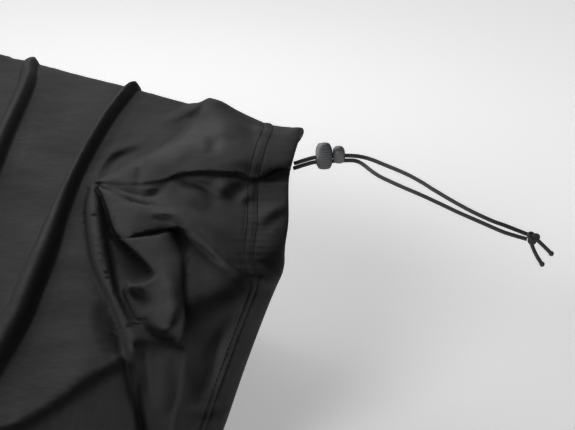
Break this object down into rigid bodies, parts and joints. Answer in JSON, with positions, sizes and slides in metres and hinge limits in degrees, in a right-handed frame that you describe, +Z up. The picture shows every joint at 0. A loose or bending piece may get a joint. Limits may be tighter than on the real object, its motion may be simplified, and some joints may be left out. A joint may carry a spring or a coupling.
{
  "type": "keyboard dust cover",
  "caption": "Fitted stretch-cloth dust cover for a long keyboard instrument, one rear corner drawn back by a drawcord with a cord lock and knotted ends.",
  "frame": {"origin": "middle of the top panel's underside, where the covered instrument's top would touch it", "axes": "+X along the instrument toward its right end, +Y toward its back, +Z up, with the player at -Y"},
  "size_m": [1.1121, 0.4584, 0.1413],
  "materials": {
    "cloth": "charcoal knitted stretch cloth with a faint sheen",
    "cord": "black braided elastic cord",
    "lock_plastic": "moulded dark grey plastic, satin"
  },
  "bodies": {
    "root": {"cover_cloth": "cloth", "drawcord_upper": "cord", "drawcord_lower": "cord", "tail_upper": "cord", "tail_lower": "cord", "cord_knot": "cord", "lock_body": "lock_plastic", "lock_button": "lock_plastic"}
  },
  "joints": []
}
